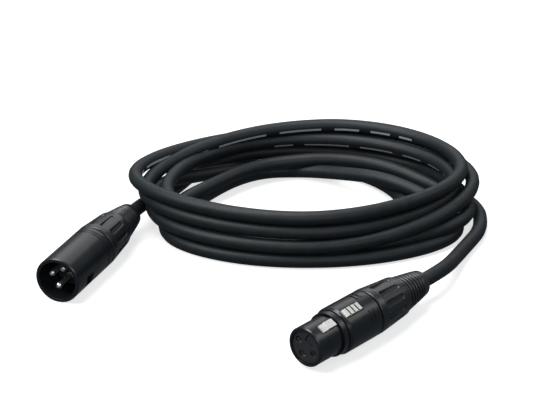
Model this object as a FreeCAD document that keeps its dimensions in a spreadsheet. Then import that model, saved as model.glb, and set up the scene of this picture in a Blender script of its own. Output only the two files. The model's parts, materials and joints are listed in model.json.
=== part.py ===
"""A coiled microphone cable with a three-pin male plug and a latching female plug.

Millimetres, +Z up, resting on Z = 0. The origin lies on the ground, under the middle of
the two connectors together. Each connector is drawn in its own frame and then placed:
local Z runs from its mating face back to the cable, and local +X is its key side.
"""
import FreeCAD, Part
import os
from math import cos, pi, radians, sin, tan

import Sketcher
from FreeCAD import Placement, Rotation, Vector

# Driving dimensions. They go into the spreadsheet, and every feature is bound to it.
SIZES = {
    # where the connectors lie: the boot's end, heading of the axis, key angle
    "male_exit_x": -44.3, "male_exit_y": 59.3, "male_heading": 21.8, "male_key_angle": -16,
    "female_exit_x": 73.9, "female_exit_y": -3.6, "female_heading": 41.1, "female_key_angle": 62,
    "axis_height": 9.5,
    # common to both connectors
    "shell_radius": 9.5, "rim_chamfer": 0.4, "contact_circle": 4.05,
    "neck_radius": 7.8, "neck_bore": 6.9, "neck_length": 6.5,
    "cup_radius": 1.35, "cup_bore": 0.95, "cup_length": 4.5, "cup_depth": 3.5,
    # male shell, insert and pins
    "male_joint": 30.5, "mouth_radius": 8, "mouth_depth": 14, "seat_radius": 7.6, "seat_end": 24,
    "groove_first": 26.4, "groove_second": 27.9, "groove_width": 0.5, "groove_depth": 0.3,
    "window_start": 7.5, "window_length": 5.5, "window_width": 5,
    "male_insert_front": 13, "male_insert_back": 20.5,
    "pin_radius": 1.2, "pin_shank": 1.4, "pin_tip": 2.5, "pin_chamfer": 0.6,
    # female shell, insert and sockets
    "female_joint": 34.3, "nose_radius": 7.9, "nose_bore": 6.6, "nose_length": 12,
    "nose_groove_radius": 7.3, "ring_start": 12.8, "ring_end": 15.2, "ring_radius": 8.8,
    "ring_groove_radius": 8.2, "body_start": 15.8, "body_bevel": 1.2, "nose_bore_end": 29.5,
    "female_insert_front": 0.6, "socket_radius": 1.9, "socket_bore": 1.25, "socket_front": 1.8,
    "socket_floor": 14, "face_hole_radius": 1.45,
    "key_inner": 2, "key_shoulder": 4.2, "key_outer": 5.8, "key_recess": 0.4,
    "key_inner_half": 1.7, "key_shoulder_half": 2, "key_outer_half": 1.5,
    "ridge_first": 28.7, "ridge_second": 30.7, "ridge_height": 0.35, "ridge_width": 0.6,
    "ridge_angle": 32, "ridge_sweep": 26,
    # latch lever, its pin and its leaf spring
    "latch_width": 3.3, "lever_front": 4, "lever_low": 5, "lever_high": 6.2,
    "hook_front": 4.5, "hook_step": 6.8, "hook_back": 11.7, "hook_high": 8.7, "hook_low": 8.1,
    "button_front": 16.8, "button_back": 26.4, "button_high": 10.4, "button_groove": 0.5,
    "button_groove_width": 0.7, "button_groove_first": 2.2, "button_groove_pitch": 2.3,
    "pivot_back": 27.9, "pivot_high": 5.4, "pivot_radius": 0.5, "pivot_gap": 0.05,
    "eye_radius": 0.85, "pivot_pin_length": 5.8,
    "channel_floor": 3.5, "channel_width": 3.9, "channel_front": 2.5,
    "hook_slot_front": 4, "button_slot_front": 16.4, "button_slot_back": 27, "slot_width": 3.7,
    "spring_width": 2.4, "spring_thickness": 0.25, "spring_back": 19, "spring_bend": 16.5,
    "spring_tip": 12.5,
    # chuck, collar and bend relief, measured back from the connector's joint
    "chuck_front": 3, "chuck_shoulder": 7, "chuck_back": 14.5, "chuck_small": 5,
    "chuck_slot": 1, "chuck_clearance": 0.1,
    "collar_gap": 0.4, "collar_back": 19.8, "collar_small": 8.2, "collar_bore": 7.85,
    "collar_bore_end": 7.2, "collar_cone": 7.2, "collar_eye": 5.95, "collar_eye_start": 15.5,
    "flute_start": 4.6, "flute_length": 11.5, "flute_width": 2.1, "flute_floor": 8.2,
    "relief_stub_front": 15.7, "relief_stub_radius": 5.9, "relief_front": 20.1,
    "relief_large": 7.6, "relief_small": 5.9, "relief_ribs_end": 31.3, "relief_back": 35.5,
    "relief_end_radius": 5.3, "relief_bore": 3.1, "rib_depth": 0.55, "rib_count": 6,
    # cable
    "cable_radius": 3, "cable_end": 5.5, "wire_radius": 0.7, "drain_radius": 0.5,
    "wire_spread": 1.4, "wire_straight": 2, "cup_approach": 0.6, "cup_entry": 1,
    # coil: centre, half width and half depth of its outline on the ground and at its top
    "coil_height": 24, "coil_edge": 2.4,
    "low_centre_x": 35, "low_centre_y": 81.4, "low_half_width": 66.8, "low_half_depth": 55.2,
    "high_centre_x": 29.5, "high_centre_y": 81.2, "high_half_width": 75, "high_half_depth": 53,
    "low_hole_width": 54, "low_hole_depth": 38, "high_hole_width": 62, "high_hole_depth": 42,
    "hole_shift": -3.5,
}

# Route of each free end, point by point, from the boot to the coil.
MALE_ROUTE = [
    (-44.3, 59.3, 9.5), (-40.2, 69.5, 9.5), (-36.1, 80.6, 6.6), (-31.4, 90.8, 3.9),
]
FEMALE_ROUTE = [
    (73.9, -3.6, 9.5), (81.1, 4.7, 9.5), (87.0, 17.0, 7.2), (91.5, 31.0, 4.2),
    (97.2, 44.4, 3.1), (103.2, 57.2, 3.1), (104.9, 70.5, 3.1), (102.8, 83.5, 3.1),
]

doc = FreeCAD.newDocument("xlr_cable_coil")
sheet = doc.addObject("Spreadsheet::Sheet", "Dims")
for row, (alias, size) in enumerate(SIZES.items(), start=1):
    sheet.set(f"A{row}", alias)
    sheet.set(f"B{row}", str(size))
    sheet.setAlias(f"B{row}", alias)
doc.recompute()

parts = []


# ---------------------------------------------------------------- sums of named sizes

def terms(text):
    """Split a sum such as 'male_joint+neck_length-0.5' into signed words."""
    return [term for term in text.replace("-", "+-").split("+") if term]


def value(text):
    """The number that a sum of sheet names and plain numbers stands for."""
    total = 0.0
    for term in terms(text):
        sign = -1.0 if term.startswith("-") else 1.0
        word = term.lstrip("-")
        total += sign * (SIZES[word] if word in SIZES else float(word))
    return total


def formula(text):
    """The same sum as an expression that reads the spreadsheet."""
    written = []
    for term in terms(text):
        sign = "-" if term.startswith("-") else "+"
        word = term.lstrip("-")
        written.append(sign + (f"Dims.{word}" if word in SIZES else word))
    return "".join(written).lstrip("+")


def bind(thing, **properties):
    """Bind properties of an object to sums of sheet names; '__' stands for a dot."""
    for name, text in properties.items():
        thing.setExpression(name.replace("__", "."), formula(text))


# ---------------------------------------------------------------- PartDesign helpers

def new_body(label):
    body = doc.addObject("PartDesign::Body", label)
    body.Label = label
    return body


def origin_item(body, role):
    return next(item for item in body.Origin.OriginFeatures if item.Role == role)


def outline_sketch(body, name, outline, plane="XZ_Plane"):
    """A closed polygon whose corners are bound to the sheet: (across, along) sums."""
    sketch = body.newObject("Sketcher::SketchObject", name)
    sketch.AttachmentSupport = (origin_item(body, plane), [""])
    sketch.MapMode = "FlatFace"
    corners = [Vector(value(across), value(along), 0) for across, along in outline]
    count = len(corners)
    for i in range(count):
        sketch.addGeometry(Part.LineSegment(corners[i], corners[(i + 1) % count]), False)
    for i in range(count):
        sketch.addConstraint(Sketcher.Constraint("Coincident", i, 2, (i + 1) % count, 1))
    for i, (across, along) in enumerate(outline):
        for kind, text, axis in (("DistanceX", across, -2), ("DistanceY", along, -1)):
            if abs(value(text)) < 1e-9:
                sketch.addConstraint(Sketcher.Constraint("PointOnObject", i, 1, axis))
                continue
            index = sketch.addConstraint(Sketcher.Constraint(kind, -1, 1, i, 1, value(text)))
            label = f"{kind.lower()}_{i}"
            sketch.renameConstraint(index, label)
            sketch.setExpression(f"Constraints.{label}", formula(text))
    return sketch


def turned(label, outline):
    """A body turned about local Z from a half outline of (radius, height) corners."""
    body = new_body(label)
    sketch = outline_sketch(body, f"{label}_outline", outline)
    turn = body.newObject("PartDesign::Revolution", f"{label}_turn")
    turn.Profile = sketch
    turn.ReferenceAxis = (sketch, ["V_Axis"])
    turn.Angle = 360
    return body


def cut_box(body, name, x, y, z, size):
    """Take a box away: its low corner and its size along X, Y and Z."""
    box = body.newObject("PartDesign::SubtractiveBox", name)
    bind(box, Placement__Base__x=x, Placement__Base__y=y, Placement__Base__z=z)
    bind(box, Length=size[0], Width=size[1], Height=size[2])
    return box


def cut_hole(body, name, x, y, z, radius, depth):
    """Take away a round hole parallel to local Z."""
    hole = body.newObject("PartDesign::SubtractiveCylinder", name)
    bind(hole, Radius=radius, Height=depth)
    bind(hole, Placement__Base__x=x, Placement__Base__y=y, Placement__Base__z=z)
    return hole


def around(body, name, feature, count, angle=360):
    """Repeat a feature about local Z."""
    pattern = body.newObject("PartDesign::PolarPattern", name)
    pattern.Originals = [feature]
    pattern.Axis = (origin_item(body, "Z_Axis"), [""])
    pattern.Angle = angle
    pattern.Occurrences = count
    body.Tip = pattern
    return pattern


# ---------------------------------------------------------------- placing

def connector_placement(side):
    """Local Z lies along the heading, and local +X points at the key's angle."""
    heading = radians(SIZES[f"{side}_heading"])
    across = Vector(cos(heading), -sin(heading), 0)
    back = Vector(sin(heading), cos(heading), 0)
    lying = Rotation(across, Vector(0, 0, -1), back, "ZXY")
    roll = Rotation(Vector(0, 0, 1), -SIZES[f"{side}_key_angle"])
    exit_point = Vector(SIZES[f"{side}_exit_x"], SIZES[f"{side}_exit_y"], SIZES["axis_height"])
    length = value(f"{side}_joint+relief_back")
    return Placement(exit_point - back * length, lying.multiply(roll))


FRAMES = {side: connector_placement(side) for side in ("male", "female")}


def add(thing, frame=None, offset=(0, 0, 0)):
    """Give a finished sub-part its place and put it on the list of nodes."""
    if frame is not None:
        thing.Placement = frame.multiply(Placement(Vector(*offset), Rotation()))
    parts.append(thing)
    return thing


def feature(label, shape, frame=None):
    thing = doc.addObject("Part::Feature", label)
    thing.Label = label
    thing.Shape = shape
    return add(thing, frame)


# Contacts 1 and 2 face each other across the key line, and contact 3 is opposite the key.
# The male and the female face each other, so their contacts are mirror images.
def contact_places(side):
    reach = SIZES["contact_circle"]
    hand = -1 if side == "male" else 1
    return {1: (0, hand * reach, 0), 2: (0, -hand * reach, 0), 3: (-reach, 0, 0)}


# ---------------------------------------------------------------- male connector

def ring_groove(start):
    """Corners of one shallow groove round the male shell."""
    low = "shell_radius-groove_depth"
    end = f"{start}+groove_width"
    return [("shell_radius", start), (low, start), (low, end), ("shell_radius", end)]


def make_male_shell():
    neck_end = "male_joint+neck_length"
    outline = [
        ("mouth_radius", "0"), ("shell_radius-rim_chamfer", "0"), ("shell_radius", "rim_chamfer"),
        *ring_groove("groove_first"), *ring_groove("groove_second"),
        ("shell_radius", "male_joint"), ("neck_radius", "male_joint"), ("neck_radius", neck_end),
        ("neck_bore", neck_end), ("neck_bore", "seat_end"), ("seat_radius", "seat_end"),
        ("seat_radius", "mouth_depth"), ("mouth_radius", "mouth_depth"),
    ]
    body = turned("male_shell", outline)
    window = cut_box(body, "latch_window", "seat_radius-1", "0", "window_start",
                     ("4", "window_width", "window_length"))
    window.setExpression("Placement.Base.y", "-Dims.window_width / 2")
    return add(body, FRAMES["male"])


def make_male_insert():
    outline = [("0", "male_insert_front"), ("seat_radius", "male_insert_front"),
               ("seat_radius", "male_insert_back"), ("0", "male_insert_back")]
    body = turned("male_insert", outline)
    for number, (x, y, _) in contact_places("male").items():
        cut_hole(body, f"pin_hole_{number}", str(x), str(y), "male_insert_front-1",
                 "pin_shank", "male_insert_back-male_insert_front+2")
    return add(body, FRAMES["male"])


def cup_outline(shoulder):
    """Corners of the solder cup behind a contact, up to the axis."""
    end = f"{shoulder}+cup_length"
    return [("cup_radius", shoulder), ("cup_radius", end), ("cup_bore", end),
            ("cup_bore", f"{end}-cup_depth"), ("0", f"{end}-cup_depth")]


def make_male_pins():
    outline = [
        ("0", "pin_tip"), ("pin_radius-pin_chamfer", "pin_tip"),
        ("pin_radius", "pin_tip+pin_chamfer"), ("pin_radius", "male_insert_front"),
        ("pin_shank", "male_insert_front"), ("pin_shank", "male_insert_back"),
        *cup_outline("male_insert_back"),
    ]
    for number, place in contact_places("male").items():
        add(turned(f"male_pin_{number}", outline), FRAMES["male"], place)


# ---------------------------------------------------------------- female connector

def ridge_arc(name, body, start):
    """Two short raised ridges round the shell, one each side of the button."""
    outline = [("shell_radius-0.2", start), ("shell_radius+ridge_height", start),
               ("shell_radius+ridge_height", f"{start}+ridge_width"),
               ("shell_radius-0.2", f"{start}+ridge_width")]
    for hand in (-1, 1):
        sketch = outline_sketch(body, f"{name}_{'left' if hand < 0 else 'right'}", outline)
        turn = Rotation(Vector(0, 1, 0), hand * SIZES["ridge_angle"])
        sketch.AttachmentOffset = Placement(Vector(), turn)
        arc = body.newObject("PartDesign::Revolution", f"{sketch.Name}_turn")
        arc.Profile = sketch
        arc.ReferenceAxis = (sketch, ["V_Axis"])
        arc.Midplane = True
        bind(arc, Angle="ridge_sweep")


def make_female_shell():
    neck_end = "female_joint+neck_length"
    outline = [
        ("nose_bore", "0"), ("nose_radius-rim_chamfer", "0"), ("nose_radius", "rim_chamfer"),
        ("nose_radius", "nose_length"), ("nose_groove_radius", "nose_length"),
        ("nose_groove_radius", "ring_start"), ("ring_radius", "ring_start"),
        ("ring_radius", "ring_end"), ("ring_groove_radius", "ring_end"),
        ("ring_groove_radius", "body_start"), ("shell_radius-0.6", "body_start"),
        ("shell_radius", "body_start+body_bevel"), ("shell_radius", "female_joint"),
        ("neck_radius", "female_joint"), ("neck_radius", neck_end), ("neck_bore", neck_end),
        ("neck_bore", "nose_bore_end"), ("nose_bore", "nose_bore_end"),
    ]
    body = turned("female_shell", outline)
    hook_slot = cut_box(body, "hook_slot", "nose_bore-1", "0", "hook_slot_front",
                        ("3", "slot_width", "nose_length-hook_slot_front"))
    button_slot = cut_box(body, "button_slot", "nose_bore-1", "0", "button_slot_front",
                          ("5", "slot_width", "button_slot_back-button_slot_front"))
    for slot in (hook_slot, button_slot):
        slot.setExpression("Placement.Base.y", "-Dims.slot_width / 2")
    ridge_arc("ridge_first", body, "ridge_first")
    ridge_arc("ridge_second", body, "ridge_second")
    return add(body, FRAMES["female"])


def make_female_insert():
    outline = [("0", "female_insert_front"), ("nose_bore", "female_insert_front"),
               ("nose_bore", "nose_bore_end"), ("0", "nose_bore_end")]
    body = turned("female_insert", outline)
    for number, (x, y, _) in contact_places("female").items():
        cut_hole(body, f"face_hole_{number}", str(x), str(y), "0", "face_hole_radius", "socket_front")
        cut_hole(body, f"socket_bore_{number}", str(x), str(y), "socket_front", "socket_radius",
                 "nose_bore_end-socket_front")
    channel = cut_box(body, "latch_channel", "channel_floor", "0", "channel_front",
                      ("4", "channel_width", "nose_bore_end-channel_front+1"))
    channel.setExpression("Placement.Base.y", "-Dims.channel_width / 2")
    half_widths = [("key_inner", "key_inner_half"), ("key_shoulder", "key_shoulder_half"),
                   ("key_outer", "key_outer_half")]
    outline = [(across, f"-{half}") for across, half in half_widths] + half_widths[::-1]
    mark = outline_sketch(body, "key_mark", outline, "XY_Plane")
    bind(mark, AttachmentOffset__Base__z="female_insert_front")
    recess = body.newObject("PartDesign::Pocket", "key_recess")
    recess.Profile = mark
    recess.Reversed = True
    bind(recess, Length="key_recess")
    hole = body.newObject("PartDesign::SubtractiveCylinder", "pivot_hole")
    hole.Placement = Placement(Vector(), Rotation(Vector(1, 0, 0), -90))
    bind(hole, Radius="pivot_radius", Height="pivot_pin_length")
    bind(hole, Placement__Base__x="pivot_high", Placement__Base__z="pivot_back")
    hole.setExpression("Placement.Base.y", "-Dims.pivot_pin_length / 2")
    return add(body, FRAMES["female"])


def make_female_sockets():
    outline = [
        ("socket_bore", "socket_front"), ("socket_radius", "socket_front"),
        ("socket_radius", "nose_bore_end"), *cup_outline("nose_bore_end"),
        ("0", "socket_floor"), ("socket_bore", "socket_floor"),
    ]
    for number, place in contact_places("female").items():
        add(turned(f"female_socket_{number}", outline), FRAMES["female"], place)


def make_latch():
    """One lever: the hook through the nose, the ribbed button through the body."""
    grooves = []
    low = "button_high-button_groove"
    start = "button_front+button_groove_first"
    for _ in range(3):
        end = f"{start}+button_groove_width"
        grooves += [("button_high", start), (low, start), (low, end), ("button_high", end)]
        start += "+button_groove_pitch"
    outline = [
        ("lever_low", "lever_front"), ("lever_high", "lever_front"), ("lever_high", "hook_front"),
        ("hook_low-1", "hook_front"), ("hook_low", "hook_front+0.6"), ("hook_low", "hook_step"),
        ("hook_high", "hook_step+0.6"), ("hook_high", "hook_back"), ("lever_high", "hook_back"),
        ("lever_high", "button_front"), ("button_high-0.4", "button_front"),
        ("button_high", "button_front+0.5"), *grooves, ("button_high", "button_back-0.5"),
        ("button_high-0.5", "button_back"), ("pivot_high+eye_radius", "button_back"),
        ("pivot_high+eye_radius", "pivot_back+eye_radius"),
        ("pivot_high-eye_radius", "pivot_back+eye_radius"),
        ("pivot_high-eye_radius", "pivot_back-eye_radius"), ("lever_low", "pivot_back-eye_radius"),
    ]
    body = new_body("female_latch")
    pad = body.newObject("PartDesign::Pad", "latch_pad")
    pad.Profile = outline_sketch(body, "latch_outline", outline)
    pad.Midplane = True
    bind(pad, Length="latch_width")
    eye = body.newObject("PartDesign::SubtractiveCylinder", "pivot_eye")
    eye.Placement = Placement(Vector(), Rotation(Vector(1, 0, 0), -90))
    bind(eye, Radius="pivot_radius+pivot_gap", Height="latch_width+2")
    bind(eye, Placement__Base__x="pivot_high", Placement__Base__z="pivot_back")
    eye.setExpression("Placement.Base.y", "-Dims.latch_width / 2 - 1")
    return add(body, FRAMES["female"])


def make_pivot_pin():
    pin = doc.addObject("Part::Cylinder", "latch_pivot_pin")
    pin.Label = "latch_pivot_pin"
    bind(pin, Radius="pivot_radius", Height="pivot_pin_length")
    across = Placement(Vector(SIZES["pivot_high"], -SIZES["pivot_pin_length"] / 2,
                              SIZES["pivot_back"]), Rotation(Vector(1, 0, 0), -90))
    return add(pin, FRAMES["female"].multiply(across))


def make_latch_spring():
    """A bent leaf between the floor of the channel and the underside of the lever."""
    outline = [
        ("channel_floor", "spring_back"), ("channel_floor+spring_thickness", "spring_back"),
        ("channel_floor+spring_thickness", "spring_bend"), ("lever_low", "spring_tip"),
        ("lever_low-spring_thickness", "spring_tip"), ("channel_floor", "spring_bend"),
    ]
    body = new_body("latch_spring")
    pad = body.newObject("PartDesign::Pad", "spring_pad")
    pad.Profile = outline_sketch(body, "spring_outline", outline)
    pad.Midplane = True
    bind(pad, Length="spring_width")
    return add(body, FRAMES["female"])


# ---------------------------------------------------------------- rear end, on both

def make_chuck(side):
    joint = f"{side}_joint"
    large = "neck_bore-chuck_clearance"
    outline = [
        ("cable_radius", f"{joint}+chuck_front"), (large, f"{joint}+chuck_front"),
        (large, f"{joint}+chuck_shoulder"), ("chuck_small", f"{joint}+chuck_back"),
        ("cable_radius", f"{joint}+chuck_back"),
    ]
    body = turned(f"{side}_chuck", outline)
    slot = cut_box(body, "jaw_slot", "cable_radius-1", "0", f"{joint}+chuck_shoulder",
                   ("6", "chuck_slot", "chuck_back-chuck_shoulder+1"))
    slot.setExpression("Placement.Base.y", "-Dims.chuck_slot / 2")
    around(body, "jaw_slots", slot, 4)
    return add(body, FRAMES[side])


def make_collar(side):
    joint = f"{side}_joint"
    outline = [
        ("collar_bore", f"{joint}+collar_gap"), ("shell_radius-0.3", f"{joint}+collar_gap"),
        ("shell_radius", f"{joint}+collar_gap+0.4"), ("shell_radius", f"{joint}+4"),
        ("collar_small", f"{joint}+collar_back-0.4"), ("collar_small-0.4", f"{joint}+collar_back"),
        ("collar_eye", f"{joint}+collar_back"), ("collar_eye", f"{joint}+collar_eye_start"),
        ("collar_cone", f"{joint}+collar_bore_end"), ("collar_bore", f"{joint}+collar_bore_end"),
    ]
    body = turned(f"{side}_boot_collar", outline)
    flute = cut_box(body, "grip_flute", "flute_floor", "0", f"{joint}+flute_start",
                    ("3", "flute_width", "flute_length"))
    flute.setExpression("Placement.Base.y", "-Dims.flute_width / 2")
    around(body, "grip_flutes", flute, 12)
    return add(body, FRAMES[side])


def make_bend_relief(side):
    """A tapered sleeve with ribs round it and a smooth end."""
    joint = f"{side}_joint"
    ribs = int(SIZES["rib_count"])
    pitch = (SIZES["relief_ribs_end"] - SIZES["relief_front"]) / ribs
    taper = (SIZES["relief_large"] - SIZES["relief_small"]) / ribs
    outline = [
        ("relief_bore", f"{joint}+relief_stub_front"),
        ("relief_stub_radius", f"{joint}+relief_stub_front"),
        ("relief_stub_radius", f"{joint}+relief_front"),
    ]
    for rib in range(ribs):
        crest = f"relief_large-{taper * rib:.3f}"
        start = f"{joint}+relief_front+{pitch * rib:.3f}"
        outline += [(crest, start), (crest, f"{start}+{pitch * 0.6:.3f}"),
                    (f"{crest}-rib_depth", f"{start}+{pitch * 0.65:.3f}"),
                    (f"{crest}-rib_depth", f"{start}+{pitch * 0.95:.3f}")]
    outline += [
        ("relief_small", f"{joint}+relief_ribs_end"),
        ("relief_end_radius", f"{joint}+relief_back-0.6"),
        ("relief_end_radius-0.6", f"{joint}+relief_back"),
        ("relief_bore", f"{joint}+relief_back"),
    ]
    return add(turned(f"{side}_bend_relief", outline), FRAMES[side])


def make_cable_end(side):
    """The straight stretch of cable that the chuck and the boot hold."""
    joint = f"{side}_joint"
    end = doc.addObject("Part::Cylinder", f"{side}_cable_end")
    end.Label = f"{side}_cable_end"
    bind(end, Radius="cable_radius", Height="relief_back-cable_end")
    return add(end, FRAMES[side], (0, 0, value(f"{joint}+cable_end")))


# ---------------------------------------------------------------- tubes along a route

def tube(route, radius, name):
    """A round tube along straight runs joined by tangent arcs."""
    points = [Vector(*point) for point in route]
    runs = [(b - a).Length for a, b in zip(points, points[1:])]
    edges = []
    start = points[0]
    radii = []
    for i in range(1, len(points) - 1):
        before = (points[i] - points[i - 1]).normalize()
        after = (points[i + 1] - points[i]).normalize()
        half_turn = before.getAngle(after) / 2
        reach = 0.45 * min(runs[i - 1], runs[i])
        radii.append(reach / tan(half_turn))
        arc_start = points[i] - before * reach
        arc_end = points[i] + after * reach
        inward = (after - before).normalize()
        middle = points[i] + inward * (radii[-1] / cos(half_turn) - radii[-1])
        edges.append(Part.LineSegment(start, arc_start).toShape())
        edges.append(Part.Arc(arc_start, middle, arc_end).toShape())
        start = arc_end
    edges.append(Part.LineSegment(start, points[-1]).toShape())
    path = Part.Wire(edges)
    section = Part.Wire(Part.Circle(points[0], points[1] - points[0], radius).toShape())
    solid = path.makePipeShell([section], True, False)
    expected = pi * radius ** 2 * path.Length
    print(f"{name}: length {path.Length:.1f}, radii "
          + ", ".join(f"{r:.0f}" for r in radii)
          + f", volume {solid.Volume:.0f} of {expected:.0f}")
    if abs(solid.Volume / expected - 1) > 0.01:
        raise RuntimeError(f"{name}: the tube's volume is wrong")
    return solid


WIRES = {"shield_drain": (1, "drain_radius"), "wire_hot": (2, "wire_radius"),
         "wire_cold": (3, "wire_radius")}


def make_wires(side):
    """The two conductors and the drain, from the cable's end to the solder cups."""
    cup_mouth = ("male_insert_back" if side == "male" else "nose_bore_end") + "+cup_length"
    cable_face = f"{side}_joint+cable_end"
    inward = SIZES["wire_spread"] / SIZES["contact_circle"]
    for name, (number, radius) in WIRES.items():
        x, y, _ = contact_places(side)[number]
        route = [(x * inward, y * inward, value(cable_face)),
                 (x * inward, y * inward, value(f"{cable_face}-wire_straight")),
                 (x, y, value(f"{cup_mouth}+cup_approach")),
                 (x, y, value(f"{cup_mouth}-cup_entry"))]
        feature(f"{side}_{name}", tube(route, SIZES[radius], f"{side}_{name}"), FRAMES[side])


# ---------------------------------------------------------------- cable

def oval(name, centre, half_width, half_depth, height):
    """A level ellipse, bound to the sheet."""
    ring = doc.addObject("Part::Ellipse", name)
    bind(ring, MajorRadius=half_width, MinorRadius=half_depth)
    bind(ring, Placement__Base__x=centre[0], Placement__Base__y=centre[1],
         Placement__Base__z=height)
    return ring


def stack(name, rings):
    loft = doc.addObject("Part::Loft", name)
    loft.Sections = rings
    loft.Solid = True
    loft.Ruled = True
    return loft


def make_coil():
    """The coil's own outer shape: an oval wall, wider at its top than on the ground."""
    low = ("low_centre_x", "low_centre_y")
    high = ("high_centre_x", "high_centre_y")
    low_size = ("low_half_width", "low_half_depth")
    high_size = ("high_half_width", "high_half_depth")
    edge = "coil_edge"
    outside = stack("coil_outside", [
        oval("outside_ground", low, f"{low_size[0]}-{edge}", f"{low_size[1]}-{edge}", "0"),
        oval("outside_low", low, *low_size, edge),
        oval("outside_high", high, *high_size, f"coil_height-{edge}"),
        oval("outside_top", high, f"{high_size[0]}-{edge}", f"{high_size[1]}-{edge}",
             "coil_height"),
    ])
    hole_low = (low[0], f"{low[1]}+hole_shift")
    hole_high = (high[0], high[1])
    hole = stack("coil_hole", [
        oval("hole_ground", hole_low, "low_hole_width", "low_hole_depth", "-1"),
        oval("hole_top", hole_high, "high_hole_width", "high_hole_depth", "coil_height+1"),
    ])
    coil = doc.addObject("Part::Cut", "cable_coil")
    coil.Label = "cable_coil"
    coil.Base = outside
    coil.Tool = hole
    return add(coil)


# ---------------------------------------------------------------- build and write

make_male_shell()
make_male_insert()
make_male_pins()
make_female_shell()
make_female_insert()
make_female_sockets()
make_latch()
make_pivot_pin()
make_latch_spring()
for connector in ("male", "female"):
    make_chuck(connector)
    make_collar(connector)
    make_bend_relief(connector)
    make_cable_end(connector)
    make_wires(connector)
feature("cable_tail_male", tube(MALE_ROUTE, SIZES["cable_radius"], "cable_tail_male"))
make_coil()
feature("cable_tail_female", tube(FEMALE_ROUTE, SIZES["cable_radius"], "cable_tail_female"))

doc.recompute()
for item in doc.Objects:
    if "Invalid" in item.State or "Error" in item.State:
        raise RuntimeError(f"{item.Label} failed: {item.State}")
for part in parts:
    if part.Shape.isNull() or not part.Shape.isValid():
        raise RuntimeError(f"{part.Label} has no valid shape")

os.makedirs("parts", exist_ok=True)
for part in parts:
    part.Shape.exportStep(f"parts/{part.Label}.step")
    print(f"{part.Label}: {len(part.Shape.Solids)} solid, {part.Shape.Volume:.1f} mm3")

free = [part.Shape for part in parts if not part.Label.startswith("cable_")]
box = Part.makeCompound(free).BoundBox
print(f"connectors: X {box.XMin:.2f} {box.XMax:.2f}, Y {box.YMin:.2f} {box.YMax:.2f}, "
      f"Z {box.ZMin:.2f} {box.ZMax:.2f}")
print(f"{len(parts)} nodes")
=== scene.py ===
"""The looks of a coiled microphone cable with a three-pin plug and a latching socket plug.

Everything is in metres in the CAD frame: +Z up, on the ground at Z = 0. A connector's own
pieces are drawn in millimetres in its local frame, where Z runs from the mating face back
to the cable and +X is the key side, and are then placed as the CAD places them.
"""

import json
from math import cos, hypot, pi, radians, sin

import bmesh
import bpy
from mathutils import Matrix, Vector


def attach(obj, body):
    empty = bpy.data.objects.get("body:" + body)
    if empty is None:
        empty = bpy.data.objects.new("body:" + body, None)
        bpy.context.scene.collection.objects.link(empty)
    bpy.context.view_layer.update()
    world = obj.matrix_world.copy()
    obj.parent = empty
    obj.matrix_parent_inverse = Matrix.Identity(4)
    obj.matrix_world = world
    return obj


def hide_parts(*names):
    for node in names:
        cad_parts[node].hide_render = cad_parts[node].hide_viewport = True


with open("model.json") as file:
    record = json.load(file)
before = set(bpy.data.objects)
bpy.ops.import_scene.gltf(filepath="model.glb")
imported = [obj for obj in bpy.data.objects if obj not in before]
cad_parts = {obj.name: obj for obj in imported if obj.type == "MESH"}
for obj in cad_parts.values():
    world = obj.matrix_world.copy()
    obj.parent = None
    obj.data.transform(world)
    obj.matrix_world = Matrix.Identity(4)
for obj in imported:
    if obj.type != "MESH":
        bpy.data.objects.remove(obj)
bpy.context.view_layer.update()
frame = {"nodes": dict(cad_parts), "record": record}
nodes = frame["nodes"]

MM = 0.001

# ---------------------------------------------------------------- the cable's line

CABLE_RADIUS = 3.0
CABLE_LENGTH = 2355.0
MALE_ROUTE = [
    (-44.3, 59.3, 9.5), (-40.2, 69.5, 9.5), (-36.1, 80.6, 6.6), (-31.4, 90.8, 3.9),
]
FEMALE_ROUTE = [
    (73.9, -3.6, 9.5), (81.1, 4.7, 9.5), (87.0, 17.0, 7.2), (91.5, 31.0, 4.2),
    (97.2, 44.4, 3.1), (103.2, 57.2, 3.1), (104.9, 70.5, 3.1),
]
COIL_MIDDLE = (17.55, 87.66)
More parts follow.
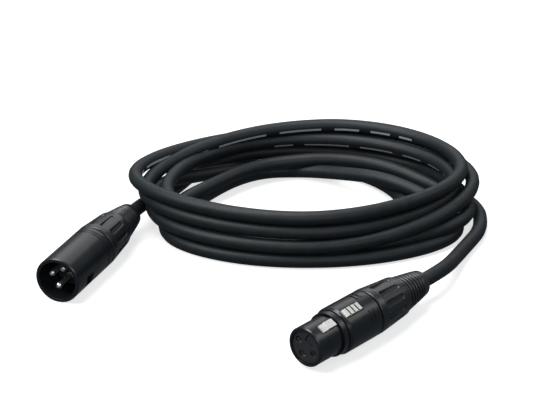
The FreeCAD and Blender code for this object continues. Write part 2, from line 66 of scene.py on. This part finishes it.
# Turn by turn from the male end, about COIL_MIDDLE: the turn's leftmost, rearmost, rightmost
# and foremost points, then the four quarters that follow them. A quarter is how full it
# bulges, where 1 is a quarter of an ellipse, or the points that it passes instead. It is
# None where the cable has left the coil.
TURNS = [
    ((-43.8, 13.5, 3.6), (12, 43.3, 8.4), (82, -13, 8.8), (12, -51.5, 5.5), (
        [(-38, 23.5, 4.8), (-29, 31.6, 6.8), (-17, 38, 8.2), (-3, 42, 8.4)],
        [(28, 42.5, 8.2), (42.5, 39.3, 7.6), (55, 34, 7.1), (63.5, 27, 7.3), (69.5, 18.7, 8.2),
         (74.5, 9, 9), (79.5, -2, 9)],
        [(81.6, -24.5, 8.6), (75.8, -34, 8.2), (66.5, -40.3, 7.4), (57, -45, 6.8),
         (45, -49.3, 6.2), (30, -51.5, 5.8)],
        1.0)),
    ((-48, -12, 14.5), (14, 41.5, 15), (78.2, -6, 15), (14, -58.1, 15), (0.96, 1.0, 0.84, 0.9)),
    ((-57.6, -15, 15.5), (22, 43.4, 21), (80.7, -5, 21), (11, -57.6, 21), (0.89, 0.97, 0.8, 0.8)),
    ((-62, -11.5, 21), (8, 48.4, 15), (86, -4, 15.5), (14, -59.6, 9), (0.63, 0.95, 0.9, 0.95)),
    ((-53.6, -20, 9.4), (8, 40.5, 3), (57, -8, 3), (14, -45.5, 3), (
        [(-52.6, -8.5, 11.7), (-48.8, 1, 11.3), (-42.5, 9, 9.6), (-35, 16.6, 7.6),
         (-26, 25, 5.6), (-14.5, 33.5, 4), (-3, 38.6, 3.2)],
        0.92, 1.0,
        [(-4, -43.5, 3), (-20, -36.5, 3), (-31.8, -25.5, 3)])),
    ((-36.8, -11.5, 3), (6, 32.2, 3), (76.8, -21.5, 3), (18, -58.9, 3), (
        [(-33.8, 1, 3), (-27.2, 11.3, 3), (-19.8, 20.8, 3), (-11.5, 28, 3), (-3, 31.6, 3)],
        [(15, 29.8, 4), (24.5, 24.2, 5.8), (33.6, 17.6, 7.8), (42, 11.8, 9.3),
         (50.5, 6.3, 9.3), (59, 0.8, 8), (66.8, -5, 6), (73, -12.2, 4.2)],
        [(76.1, -31.6, 3), (69.6, -40.6, 3), (60, -47.6, 3), (47, -53.4, 3), (33, -57.2, 3)],
        [(2, -58.6, 3), (-13, -56, 3), (-26.5, -51, 3), (-37.6, -44.2, 3),
         (-44.6, -36, 3)])),
    ((-47.4, -26.5, 3), None, None, None, (
        [(-47, -17, 3.4), (-43.6, -9, 5), (-37.8, -3.2, 6.8), (-31.5, 2.2, 7.8),
         (-25, 9.5, 8), (-18.4, 17.1, 8), (-11.2, 23.6, 8), (-3, 28, 8.2),
         (7, 30, 8.7), (17, 31, 9.2), (26, 31.2, 9), (34.5, 29.9, 8.9), (41.2, 28, 8.6),
         (47.2, 25.8, 8.2), (53.2, 22.4, 7.7), (59, 18.4, 6.9), (65, 14.5, 5.5),
         (71.5, 11, 4), (78, 6.3, 3.3), (83.5, -0.5, 3), (86.6, -9, 3)],
        None, None, None)),
]
QUARTER_STEPS = 4
# how far along each side of its corner a cubic's handle reaches to draw a quarter ellipse
QUARTER_REACH = 0.5523


def quarter(start, end, along_y, course):
    """Points from start up to, but not at, end. It leaves start along Y or along X."""
    if isinstance(course, list):
        return [start] + course
    corner = (start[0], end[1]) if along_y else (end[0], start[1])
    reach = QUARTER_REACH * course
    out = []
    for step in range(QUARTER_STEPS):
        u = step / QUARTER_STEPS
        v = 1 - u
        point = []
        for axis in (0, 1):
            first = start[axis] + (corner[axis] - start[axis]) * reach
            last = end[axis] + (corner[axis] - end[axis]) * reach
            point.append(v**3 * start[axis] + 3 * v * v * u * first
                         + 3 * v * u * u * last + u**3 * end[axis])
        point.append(start[2] + (end[2] - start[2]) * u * u * (3 - 2 * u))
        out.append(point)
    return out


def cable_points():
    """Control points of the whole cable, in millimetres, from the male boot's end."""
    places = [place for turn in TURNS for place in turn[:4]]
    courses = [course for turn in TURNS for course in turn[4]]
    turns = []
    for index, course in enumerate(courses):
        if course is None:
            break
        turns += quarter(places[index], places[index + 1], index % 2 == 0, course)
    moved = [(x + COIL_MIDDLE[0], y + COIL_MIDDLE[1], z) for x, y, z in turns]
    return MALE_ROUTE + moved + FEMALE_ROUTE[::-1]


# ---------------------------------------------------------------- materials

# Noise scales are per metre, and depths and the reach of painted shade are in metres. Noise
# mostly stays within NOISE_RANGE, out of 0 to 1.
NOISE_RANGE = (0.3, 0.7)
MOTTLE_SCALE = 130.0
GRAIN_DEPTH = 0.00004
COAT_ROUGHNESS = 0.25
LEAST_ROUGHNESS = 0.03
# painted shade in crevices: how open to light a place is where the shade begins to lift and where
# it is gone, and the share of the colour left at its darkest
PAINTED_SHADE_RANGE = (0.45, 0.8)
PAINTED_SHADE_DARKEST = 0.04

JACKET_GRAIN, JACKET_GRAIN_BUMP, JACKET_GRAIN_DEPTH = 2600.0, 0.2, 0.00003
JACKET_PATCHES = 220.0
JACKET_SHADES = [(0.32, (0.0088, 0.0128, 0.0156, 1)), (0.7, (0.0135, 0.018, 0.0208, 1))]
JACKET_ROUGHNESS = (0.42, 0.6)
JACKET_SPECULAR = 0.36

# the plain marks along the jacket: (start, length) in one repeat, in millimetres
MARK_REPEAT = 112.0
MARKS = [(36, 6), (45.5, 13), (62, 11), (77, 7.5), (88.5, 7), (99, 5.5)]
MARK_WIDTH = 1.1
MARK_COLOUR = (0.62, 0.65, 0.7, 1)
MARK_STRENGTH = 0.8
# Shares of the way round the cable: where the marks begin, how far they drift over its whole
# length, and how far they turn on, to the underside, over one stretch of that length.
MARK_SIDE = 0.64
MARK_DRIFT = -0.5
MARK_TWIST = 0.45
MARK_TWIST_STRETCH = (0.42, 0.56)


class Paint:
    """A new node material, with short ways to add nodes to it."""

    def __init__(self, name):
        self.material = bpy.data.materials.new(name)
        self.material.use_nodes = True
        self.tree = self.material.node_tree
        self.shader = self.tree.nodes["Principled BSDF"]

    def put(self, socket, setting):
        """Link an input to another node's output, or give it a value."""
        if isinstance(setting, bpy.types.NodeSocket):
            self.tree.links.new(setting, socket)
        else:
            socket.default_value = setting

    def node(self, kind, **settings):
        """Add a node with its inputs and properties, by their names."""
        made = self.tree.nodes.new(kind)
        for key, setting in settings.items():
            if key in made.inputs:
                self.put(made.inputs[key], setting)
            else:
                setattr(made, key, setting)
        return made

    def maths(self, operation, *terms):
        """The result of one calculation on one or more terms."""
        made = self.node("ShaderNodeMath", operation=operation)
        for socket, term in zip(made.inputs, terms):
            self.put(socket, term)
        return made.outputs[0]

    def remap(self, value, source, target=(0, 1), **settings):
        """A value carried from one range to another."""
        made = self.node("ShaderNodeMapRange", Value=value, **settings)
        for end, place in zip(("From Min", "From Max", "To Min", "To Max"), (*source, *target)):
            made.inputs[end].default_value = place
        return made.outputs["Result"]

    def mix(self, factor, first, second):
        """A colour between two others."""
        made = self.node("ShaderNodeMix", data_type="RGBA", Factor=factor)
        # the node lists one A, B and Result per data type; the colour ones come last
        self.put(made.inputs[6], first)
        self.put(made.inputs[7], second)
        return made.outputs[2]

    def surface(self, settings):
        """Set or link the shader's own inputs, and give back the material."""
        for key, setting in settings.items():
            self.put(self.shader.inputs[key], setting)
        return self.material


def finish_of(name, colour, roughness, metallic=0.0, grain=2500.0, bump=0.15, mottle=0.15,
              rough_spread=0.08, edge=0.00025, coat=0.0, specular=0.5, painted_shade_reach=0.0):
    """Moulded, cast or plated finish with fine grain, soft mottling and rounded edges.

    Painted shade: colour and shine fade where other surfaces within the given distance hem a
    place in.
    """
    paint = Paint(name)
    where = paint.node("ShaderNodeTexCoord").outputs["Object"]
    fine = paint.node("ShaderNodeTexNoise", Vector=where, Scale=grain, Detail=3.0).outputs["Fac"]
    broad = paint.node("ShaderNodeTexNoise", Vector=where, Scale=MOTTLE_SCALE, Detail=2.0)
    darker = (*[c * (1 - mottle) for c in colour], 1)
    lighter = (*[min(1, c * (1 + mottle)) for c in colour], 1)
    painted = paint.mix(paint.remap(broad.outputs["Fac"], NOISE_RANGE), darker, lighter)
    shine = specular
    # painted shade: colour darkens and shine fades where other surfaces hem a place in, standing
    # for the shadow in crevices and grooves
    if painted_shade_reach:
        nearby = paint.node("ShaderNodeAmbientOcclusion", samples=8, Distance=painted_shade_reach)
        clear = paint.remap(nearby.outputs["AO"], PAINTED_SHADE_RANGE)
        painted = paint.mix(clear, (*[c * PAINTED_SHADE_DARKEST for c in colour], 1), painted)
        shine = paint.maths("MULTIPLY", clear, specular)
    gloss = paint.remap(fine, NOISE_RANGE, (max(LEAST_ROUGHNESS, roughness - rough_spread),
                                            min(1, roughness + rough_spread)))
    soft_edge = paint.node("ShaderNodeBevel", samples=4, Radius=edge).outputs["Normal"]
    relief = paint.node("ShaderNodeBump", Strength=bump, Distance=GRAIN_DEPTH, Height=fine,
                        Normal=soft_edge)
    return paint.surface({
        "Base Color": painted, "Metallic": metallic, "Roughness": gloss,
        "Specular IOR Level": shine, "Coat Weight": coat, "Coat Roughness": COAT_ROUGHNESS,
        "Normal": relief.outputs["Normal"],
    })


def mark_row(paint, lengthways, round_it):
    """1 on a mark and 0 off it, from the shares of the cable's length and way round."""
    place = paint.maths("FRACT", paint.maths("MULTIPLY", lengthways, CABLE_LENGTH / MARK_REPEAT))
    dashes = paint.node("ShaderNodeValToRGB", Fac=place)
    ramp = dashes.color_ramp
    ramp.interpolation = "CONSTANT"
    ramp.elements[0].color = (0, 0, 0, 1)
    ramp.elements.remove(ramp.elements[1])
    for start, length in MARKS:
        ramp.elements.new(start / MARK_REPEAT).color = (1, 1, 1, 1)
        ramp.elements.new((start + length) / MARK_REPEAT).color = (0, 0, 0, 1)
    side = paint.remap(lengthways, MARK_TWIST_STRETCH, (MARK_SIDE, MARK_SIDE + MARK_TWIST),
                       interpolation_type="SMOOTHSTEP")
    middle = paint.maths("MULTIPLY_ADD", lengthways, MARK_DRIFT, side)
    aside = paint.maths("PINGPONG", paint.maths("SUBTRACT", round_it, middle), 0.5)
    half_width = MARK_WIDTH / 2 / (2 * pi * CABLE_RADIUS)
    return paint.maths("MULTIPLY", dashes.outputs["Color"],
                       paint.maths("LESS_THAN", aside, half_width))


def jacket(name):
    """Matte black cable jacket with a row of plain pale marks along it."""
    paint = Paint(name)
    coords = paint.node("ShaderNodeTexCoord")
    where = coords.outputs["Object"]
    fine = paint.node("ShaderNodeTexNoise", Vector=where, Scale=JACKET_GRAIN, Detail=4.0)
    patch = paint.node("ShaderNodeTexNoise", Vector=where, Scale=JACKET_PATCHES, Detail=3.0)
    shades = paint.node("ShaderNodeValToRGB", Fac=patch.outputs["Fac"])
    for stop, (place, colour) in zip(shades.color_ramp.elements, JACKET_SHADES):
        stop.position = place
        stop.color = colour
    shares = paint.node("ShaderNodeSeparateXYZ", Vector=coords.outputs["UV"])
    marked = mark_row(paint, shares.outputs["X"], shares.outputs["Y"])
    printed = paint.maths("MULTIPLY", marked, MARK_STRENGTH)
    relief = paint.node("ShaderNodeBump", Strength=JACKET_GRAIN_BUMP,
                        Distance=JACKET_GRAIN_DEPTH, Height=fine.outputs["Fac"])
    return paint.surface({
        "Base Color": paint.mix(printed, shades.outputs["Color"], MARK_COLOUR),
        "Roughness": paint.remap(fine.outputs["Fac"], (0, 1), JACKET_ROUGHNESS),
        "Specular IOR Level": JACKET_SPECULAR, "Normal": relief.outputs["Normal"],
    })


# the insert, latch, collar and sleeve get painted shade in their crevices and grooves
MATERIALS = {
    "shell_metal": finish_of("satin_black_metal", (0.008, 0.01, 0.0125), 0.3, grain=3000,
                             bump=0.04, rough_spread=0.04, coat=0.15, specular=0.5),
    "insert_plastic": finish_of("charcoal_moulding", (0.03, 0.033, 0.037), 0.5, grain=3500,
                                specular=0.4, painted_shade_reach=0.0007),
    "contact_metal": finish_of("silver_contact", (0.86, 0.85, 0.82), 0.24, metallic=0.92,
                               grain=4000, bump=0.05, mottle=0.05, edge=0.0001),
    "latch_metal": finish_of("nickel_plate", (0.78, 0.77, 0.74), 0.3, metallic=0.35, grain=3500,
                             bump=0.1, mottle=0.06, edge=0.00012, painted_shade_reach=0.0012),
    "spring_steel": finish_of("spring_strip", (0.5, 0.5, 0.52), 0.3, metallic=1.0, edge=0.00005),
    "chuck_plastic": finish_of("jaw_moulding", (0.08, 0.08, 0.08), 0.5),
    "collar_plastic": finish_of("satin_black_moulding", (0.009, 0.0112, 0.0138), 0.34,
                                grain=3200, bump=0.06, coat=0.1, specular=0.7, painted_shade_reach=0.0014),
    "relief_rubber": finish_of("soft_black_sleeve", (0.0105, 0.013, 0.016), 0.36, grain=2600,
                               bump=0.1, specular=0.8, painted_shade_reach=0.0012),
    "drain_copper": finish_of("twisted_copper", (0.72, 0.36, 0.2), 0.3, metallic=1.0, grain=5000,
                              bump=0.4, edge=0.00005),
    "conductor_red": finish_of("red_insulation", (0.5, 0.03, 0.025), 0.35, edge=0.00005),
    "conductor_white": finish_of("white_insulation", (0.75, 0.75, 0.73), 0.35, edge=0.00005),
}
MATERIALS["cable_jacket"] = jacket("cable_jacket_black")


def dress(thing, slot):
    """Give a thing the material of one of the record's slots."""
    thing.data.materials.clear()
    thing.data.materials.append(MATERIALS[slot])


for row in frame["record"]["subparts"]:
    dress(nodes[row["node"]], row["material_slot"])


# ---------------------------------------------------------------- placing and mesh helpers

def connector_frame(exit_point, heading, key_angle, length):
    """Matrix from a connector's local millimetres to the world's metres.

    The cable leaves at exit_point. Heading is turned from +Y toward +X, key_angle up from
    the level, both in degrees, and length is from the mating face to exit_point.
    """
    heading, key_angle = radians(heading), radians(key_angle)
    back = Vector((sin(heading), cos(heading), 0))
    across = Vector((cos(heading), -sin(heading), 0))
    key = across * cos(key_angle) + Vector((0, 0, 1)) * sin(key_angle)
    side = back.cross(key)
    front = (Vector(exit_point) - back * length) * MM
    axes = Matrix((key, side, back)).transposed().to_4x4()
    return Matrix.Translation(front) @ axes @ Matrix.Scale(MM, 4)


FRAMES = {
    "male": connector_frame(MALE_ROUTE[0], 21.8, -16, 66.0),
    "female": connector_frame(FEMALE_ROUTE[0], 41.1, 62, 69.8),
}
# how far behind its mating face each shell ends and its boot begins
JOINT = {"male": 30.5, "female": 34.3}


def add_piece(name, mesh, body, slot, stands_for, sharp=40):
    """Link a mesh to the scene on its body, give it its slot's material and hide the CAD parts it
    stands for.
    """
    mesh.validate()
    mesh.shade_smooth()
    mesh.set_sharp_from_angle(angle=radians(sharp))
    piece = bpy.data.objects.new(name, mesh)
    bpy.context.scene.collection.objects.link(piece)
    weighted = piece.modifiers.new("weighted", "WEIGHTED_NORMAL")
    weighted.keep_sharp = True
    dress(piece, slot)
    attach(piece, body)
    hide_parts(*stands_for)


NEARLY_STRAIGHT = radians(165)
LONGEST_REACH = 0.4


def rounded(profile, radius, steps=2):
    """A closed profile with each corner turned into a small curve."""
    out = []
    count = len(profile)
    for i, (r, z) in enumerate(profile):
        corner = Vector((r, z))
        before = Vector(profile[i - 1]) - corner
        after = Vector(profile[(i + 1) % count]) - corner
        if before.angle(after) > NEARLY_STRAIGHT:
            out.append((r, z))
            continue
        reach = min(radius, before.length * LONGEST_REACH, after.length * LONGEST_REACH)
        start = corner + before.normalized() * reach
        end = corner + after.normalized() * reach
        for step in range(steps + 1):
            u = step / steps
            point = start * (1 - u)**2 + corner * 2 * u * (1 - u) + end * u * u
            out.append((point.x, point.y))
    return out


def turned_mesh(name, profile, angles, place, shape=None):
    """A closed ring: the profile (radius, height) at each angle, shaped by a function."""
    verts, faces = [], []
    rows, columns = len(profile), len(angles)
    for angle in angles:
        for radius, height in profile:
            r = shape(radius, height, angle) if shape else radius
            verts.append(place @ Vector((r * cos(angle), r * sin(angle), height)))
    for a in range(columns):
        b = (a + 1) % columns
        for i in range(rows):
            j = (i + 1) % rows
            faces.append((a * rows + i, b * rows + i, b * rows + j, a * rows + j))
    mesh = bpy.data.meshes.new(name)
    mesh.from_pydata(verts, [], faces)
    mesh.update()
    bm = bmesh.new()
    bm.from_mesh(mesh)
    bmesh.ops.recalc_face_normals(bm, faces=bm.faces)
    bm.to_mesh(mesh)
    bm.free()
    return mesh


def even_angles(count):
    return [2 * pi * i / count for i in range(count)]


# ---------------------------------------------------------------- boots

# Lengths are in millimetres, and heights are from the boot's joint with the shell.
FLUTES = 12
FLUTE_START, FLUTE_END, FLUTE_HALF, FLUTE_FLOOR = 4.6, 16.1, 1.05, 8.2
FLUTE_RISE, FLUTE_LEAST_DEPTH = 0.3, 0.45
# only the collar's outside is fluted, and the flutes' width is measured at about its middle
OUTSIDE_FROM, FLUTE_RADIUS = 8.0, 9
# degrees across one flute and its land, closest together at the flute's edges
FLUTE_STEPS = [-15, -12.5, -10, -8.4, -7.4, -6.7, -6.1, -5.2, -3,
               0, 3, 5.2, 6.1, 6.7, 7.4, 8.4, 10, 12.5]

# the collar narrows in a straight line from the taper's start to its back
COLLAR_RADIUS, COLLAR_NARROWS = 9.5, 1.3
TAPER_START, TAPER_LENGTH = 4.0, 15.4
COLLAR_HEIGHTS = [TAPER_START, 4.3, 4.55, 4.75, 4.95, 5.2, 5.65, 7.5, 10.35, 13.2, 15.05,
                  15.5, 15.75, 15.95, 16.15, 16.4]
# its front face, set back from the shell, and its back with the bore: (radius, height)
COLLAR_FRONT = [(7.85, 0.9), (9.1, 0.9), (9.5, 1.25)]
COLLAR_BACK = [(8.2, 19.4), (7.8, 19.8), (5.95, 19.8), (5.95, 15.5), (7.2, 7.2), (7.85, 7.2)]
COLLAR_ROUNDING = 0.25

RIBS, RIB_START = 6, 20.1
RIB_PITCH = 11.2 / RIBS
FIRST_CREST, CREST_FALL = 7.6, 0.2833
# one rib and the groove behind it: (share of the pitch, depth below the crest)
RIB_SHAPE = [(0.02, 0.6), (0.1, 0.2), (0.22, 0.04), (0.34, 0), (0.46, 0.04), (0.58, 0.2),
             (0.66, 0.6), (0.74, 0.8), (0.92, 0.8)]
SLEEVE_FRONT = [(3.1, 15.7), (5.9, 15.7), (5.9, 20.1)]
SLEEVE_BACK = [(5.85, 31.4), (5.9, 31.7), (5.3, 34.9), (5.1, 35.25), (4.7, 35.5)]
# the mouth is a little wider than the cable, so that it slides back over the bend
SLEEVE_MOUTH = [(3.75, 35.5), (3.6, 35.2), (3.5, 28.5), (3.1, 27)]
SLEEVE_SIDES = 72


def fluted(joint):
    """A function for the collar's radius at each place, with its grip flutes."""
    sector = 2 * pi / FLUTES

    def shape(radius, height, angle):
        if radius < OUTSIDE_FROM:
            return radius
        z = height - joint
        turn = (angle + sector / 2) % sector - sector / 2
        across = turn * FLUTE_RADIUS
        low, high = FLUTE_START + FLUTE_HALF, FLUTE_END - FLUTE_HALF
        past = max(low - z, 0, z - high)
        inside = FLUTE_HALF - hypot(across, past)
        share = min(1, max(0, inside / FLUTE_RISE + 0.5))
        share = share * share * (3 - 2 * share)
        floor = min(radius - FLUTE_LEAST_DEPTH, FLUTE_FLOOR)
        return radius + (floor - radius) * share

    return shape


def make_collar(side):
    joint = JOINT[side]
    outside = [(COLLAR_RADIUS - COLLAR_NARROWS * (z - TAPER_START) / TAPER_LENGTH, z)
               for z in COLLAR_HEIGHTS]
    corners = rounded([*COLLAR_FRONT, *outside, *COLLAR_BACK], COLLAR_ROUNDING)
    profile = [(r, z + joint) for r, z in corners]
    sector = 2 * pi / FLUTES
    angles = [sector * i + radians(step) for i in range(FLUTES) for step in FLUTE_STEPS]
    mesh = turned_mesh(f"{side}_fluted_collar", profile, angles, FRAMES[side], fluted(joint))
    add_piece(f"{side}_fluted_collar", mesh, f"{side}_collar", "collar_plastic",
              [f"{side}_boot_collar"])


def make_relief(side):
    joint = JOINT[side]
    ribs = []
    for rib in range(RIBS):
        crest = FIRST_CREST - CREST_FALL * rib
        start = RIB_START + RIB_PITCH * rib
        ribs += [(crest - drop, start + share * RIB_PITCH) for share, drop in RIB_SHAPE]
    corners = [*SLEEVE_FRONT, *ribs, *SLEEVE_BACK, *SLEEVE_MOUTH]
    profile = [(r, z + joint) for r, z in corners]
    mesh = turned_mesh(f"{side}_ribbed_sleeve", profile, even_angles(SLEEVE_SIDES), FRAMES[side])
    add_piece(f"{side}_ribbed_sleeve", mesh, f"{side}_relief", "relief_rubber",
              [f"{side}_bend_relief"], sharp=60)


for connector in ("male", "female"):
    make_collar(connector)
    make_relief(connector)


# ---------------------------------------------------------------- cable

def make_cable():
    """One spline from the male boot round the coil to the female boot."""
    line = bpy.data.curves.new("cable_line", "CURVE")
    line.dimensions = "3D"
    line.bevel_depth = CABLE_RADIUS * MM
    line.bevel_resolution = 6
    line.resolution_u = 6
    line.twist_mode = "Z_UP"
    spline = line.splines.new("NURBS")
    points = cable_points()
    spline.points.add(len(points) - 1)
    for point, place in zip(spline.points, points):
        point.co = (*[c * MM for c in place], 1)
    spline.order_u = 3
    spline.use_endpoint_u = True
    cable = bpy.data.objects.new("coiled_cable", line)
    bpy.context.scene.collection.objects.link(cable)
    dress(cable, "cable_jacket")
    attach(cable, "root")
    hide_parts("cable_tail_male", "cable_coil", "cable_tail_female")


make_cable()


# ---------------------------------------------------------------- floor, light and camera

FLOOR_CORNERS = [(-6, -4, 0), (6, -4, 0), (6, 12, 0), (-6, 12, 0)]
FLOOR_GREY, FLOOR_GLOW = (0.6, 0.6, 0.6, 1), 0.68

AIM = Vector((*COIL_MIDDLE, 10)) * MM
# each softbox: its place, its width and height, and its power in watts
LIGHTS = {
    "overhead_softbox": ((-0.25, 0.2, 1.7), (1.3, 0.9), 25),
    "back_softbox": ((0.1, 1.7, 1.05), (2.2, 0.7), 7),
    "left_softbox": ((-0.85, -0.35, 1.0), (0.45, 0.6), 9),
    "front_softbox": ((0.25, -1.3, 0.75), (1.2, 0.3), 4.5),
    "right_softbox": ((1.1, 0.2, 0.9), (0.5, 0.6), 2),
}
WORLD_COLOUR, WORLD_STRENGTH = (0.8, 0.92, 1, 1), 0.13

SENSOR_MM, LENS_MM = 36, 130.2
CAMERA_ELEVATION, CAMERA_DISTANCE = radians(24.86), 0.8726


def make_floor():
    mesh = bpy.data.meshes.new("floor")
    mesh.from_pydata(FLOOR_CORNERS, [], [(0, 1, 2, 3)])
    floor = bpy.data.objects.new("floor", mesh)
    bpy.context.scene.collection.objects.link(floor)
    mesh.materials.append(Paint("pale_floor").surface({
        "Base Color": FLOOR_GREY, "Roughness": 0.9, "Specular IOR Level": 0.1,
        "Emission Color": (1, 1, 1, 1), "Emission Strength": FLOOR_GLOW,
    }))
    # the floor sends no light onto the object
    floor.visible_diffuse = False
    floor.visible_glossy = False


def make_light(name, place, size, power):
    lamp = bpy.data.lights.new(name, "AREA")
    lamp.shape = "RECTANGLE"
    lamp.size, lamp.size_y = size
    lamp.energy = power
    holder = bpy.data.objects.new(name, lamp)
    holder.location = place
    holder.rotation_euler = (AIM - Vector(place)).to_track_quat("-Z", "Y").to_euler()
    bpy.context.scene.collection.objects.link(holder)


def make_world():
    world = bpy.data.worlds.new("studio")
    world.use_nodes = True
    background = world.node_tree.nodes["Background"]
    background.inputs["Color"].default_value = WORLD_COLOUR
    background.inputs["Strength"].default_value = WORLD_STRENGTH
    bpy.context.scene.world = world


def make_camera():
    """A camera straight in front of the coil's middle, looking down at the ground there."""
    camera = bpy.data.cameras.new("camera")
    camera.sensor_width = SENSOR_MM
    camera.lens = LENS_MM
    camera.clip_start, camera.clip_end = 0.05, 20
    viewer = bpy.data.objects.new("camera", camera)
    bpy.context.scene.collection.objects.link(viewer)
    viewer.location = (AIM.x, AIM.y - CAMERA_DISTANCE * cos(CAMERA_ELEVATION),
                       CAMERA_DISTANCE * sin(CAMERA_ELEVATION))
    viewer.rotation_euler = (pi / 2 - CAMERA_ELEVATION, 0, 0)
    bpy.context.scene.camera = viewer


make_floor()
for label, (place, size, power) in LIGHTS.items():
    make_light(label, place, size, power)
make_world()
make_camera()
bpy.context.scene.view_settings.view_transform = "Standard"
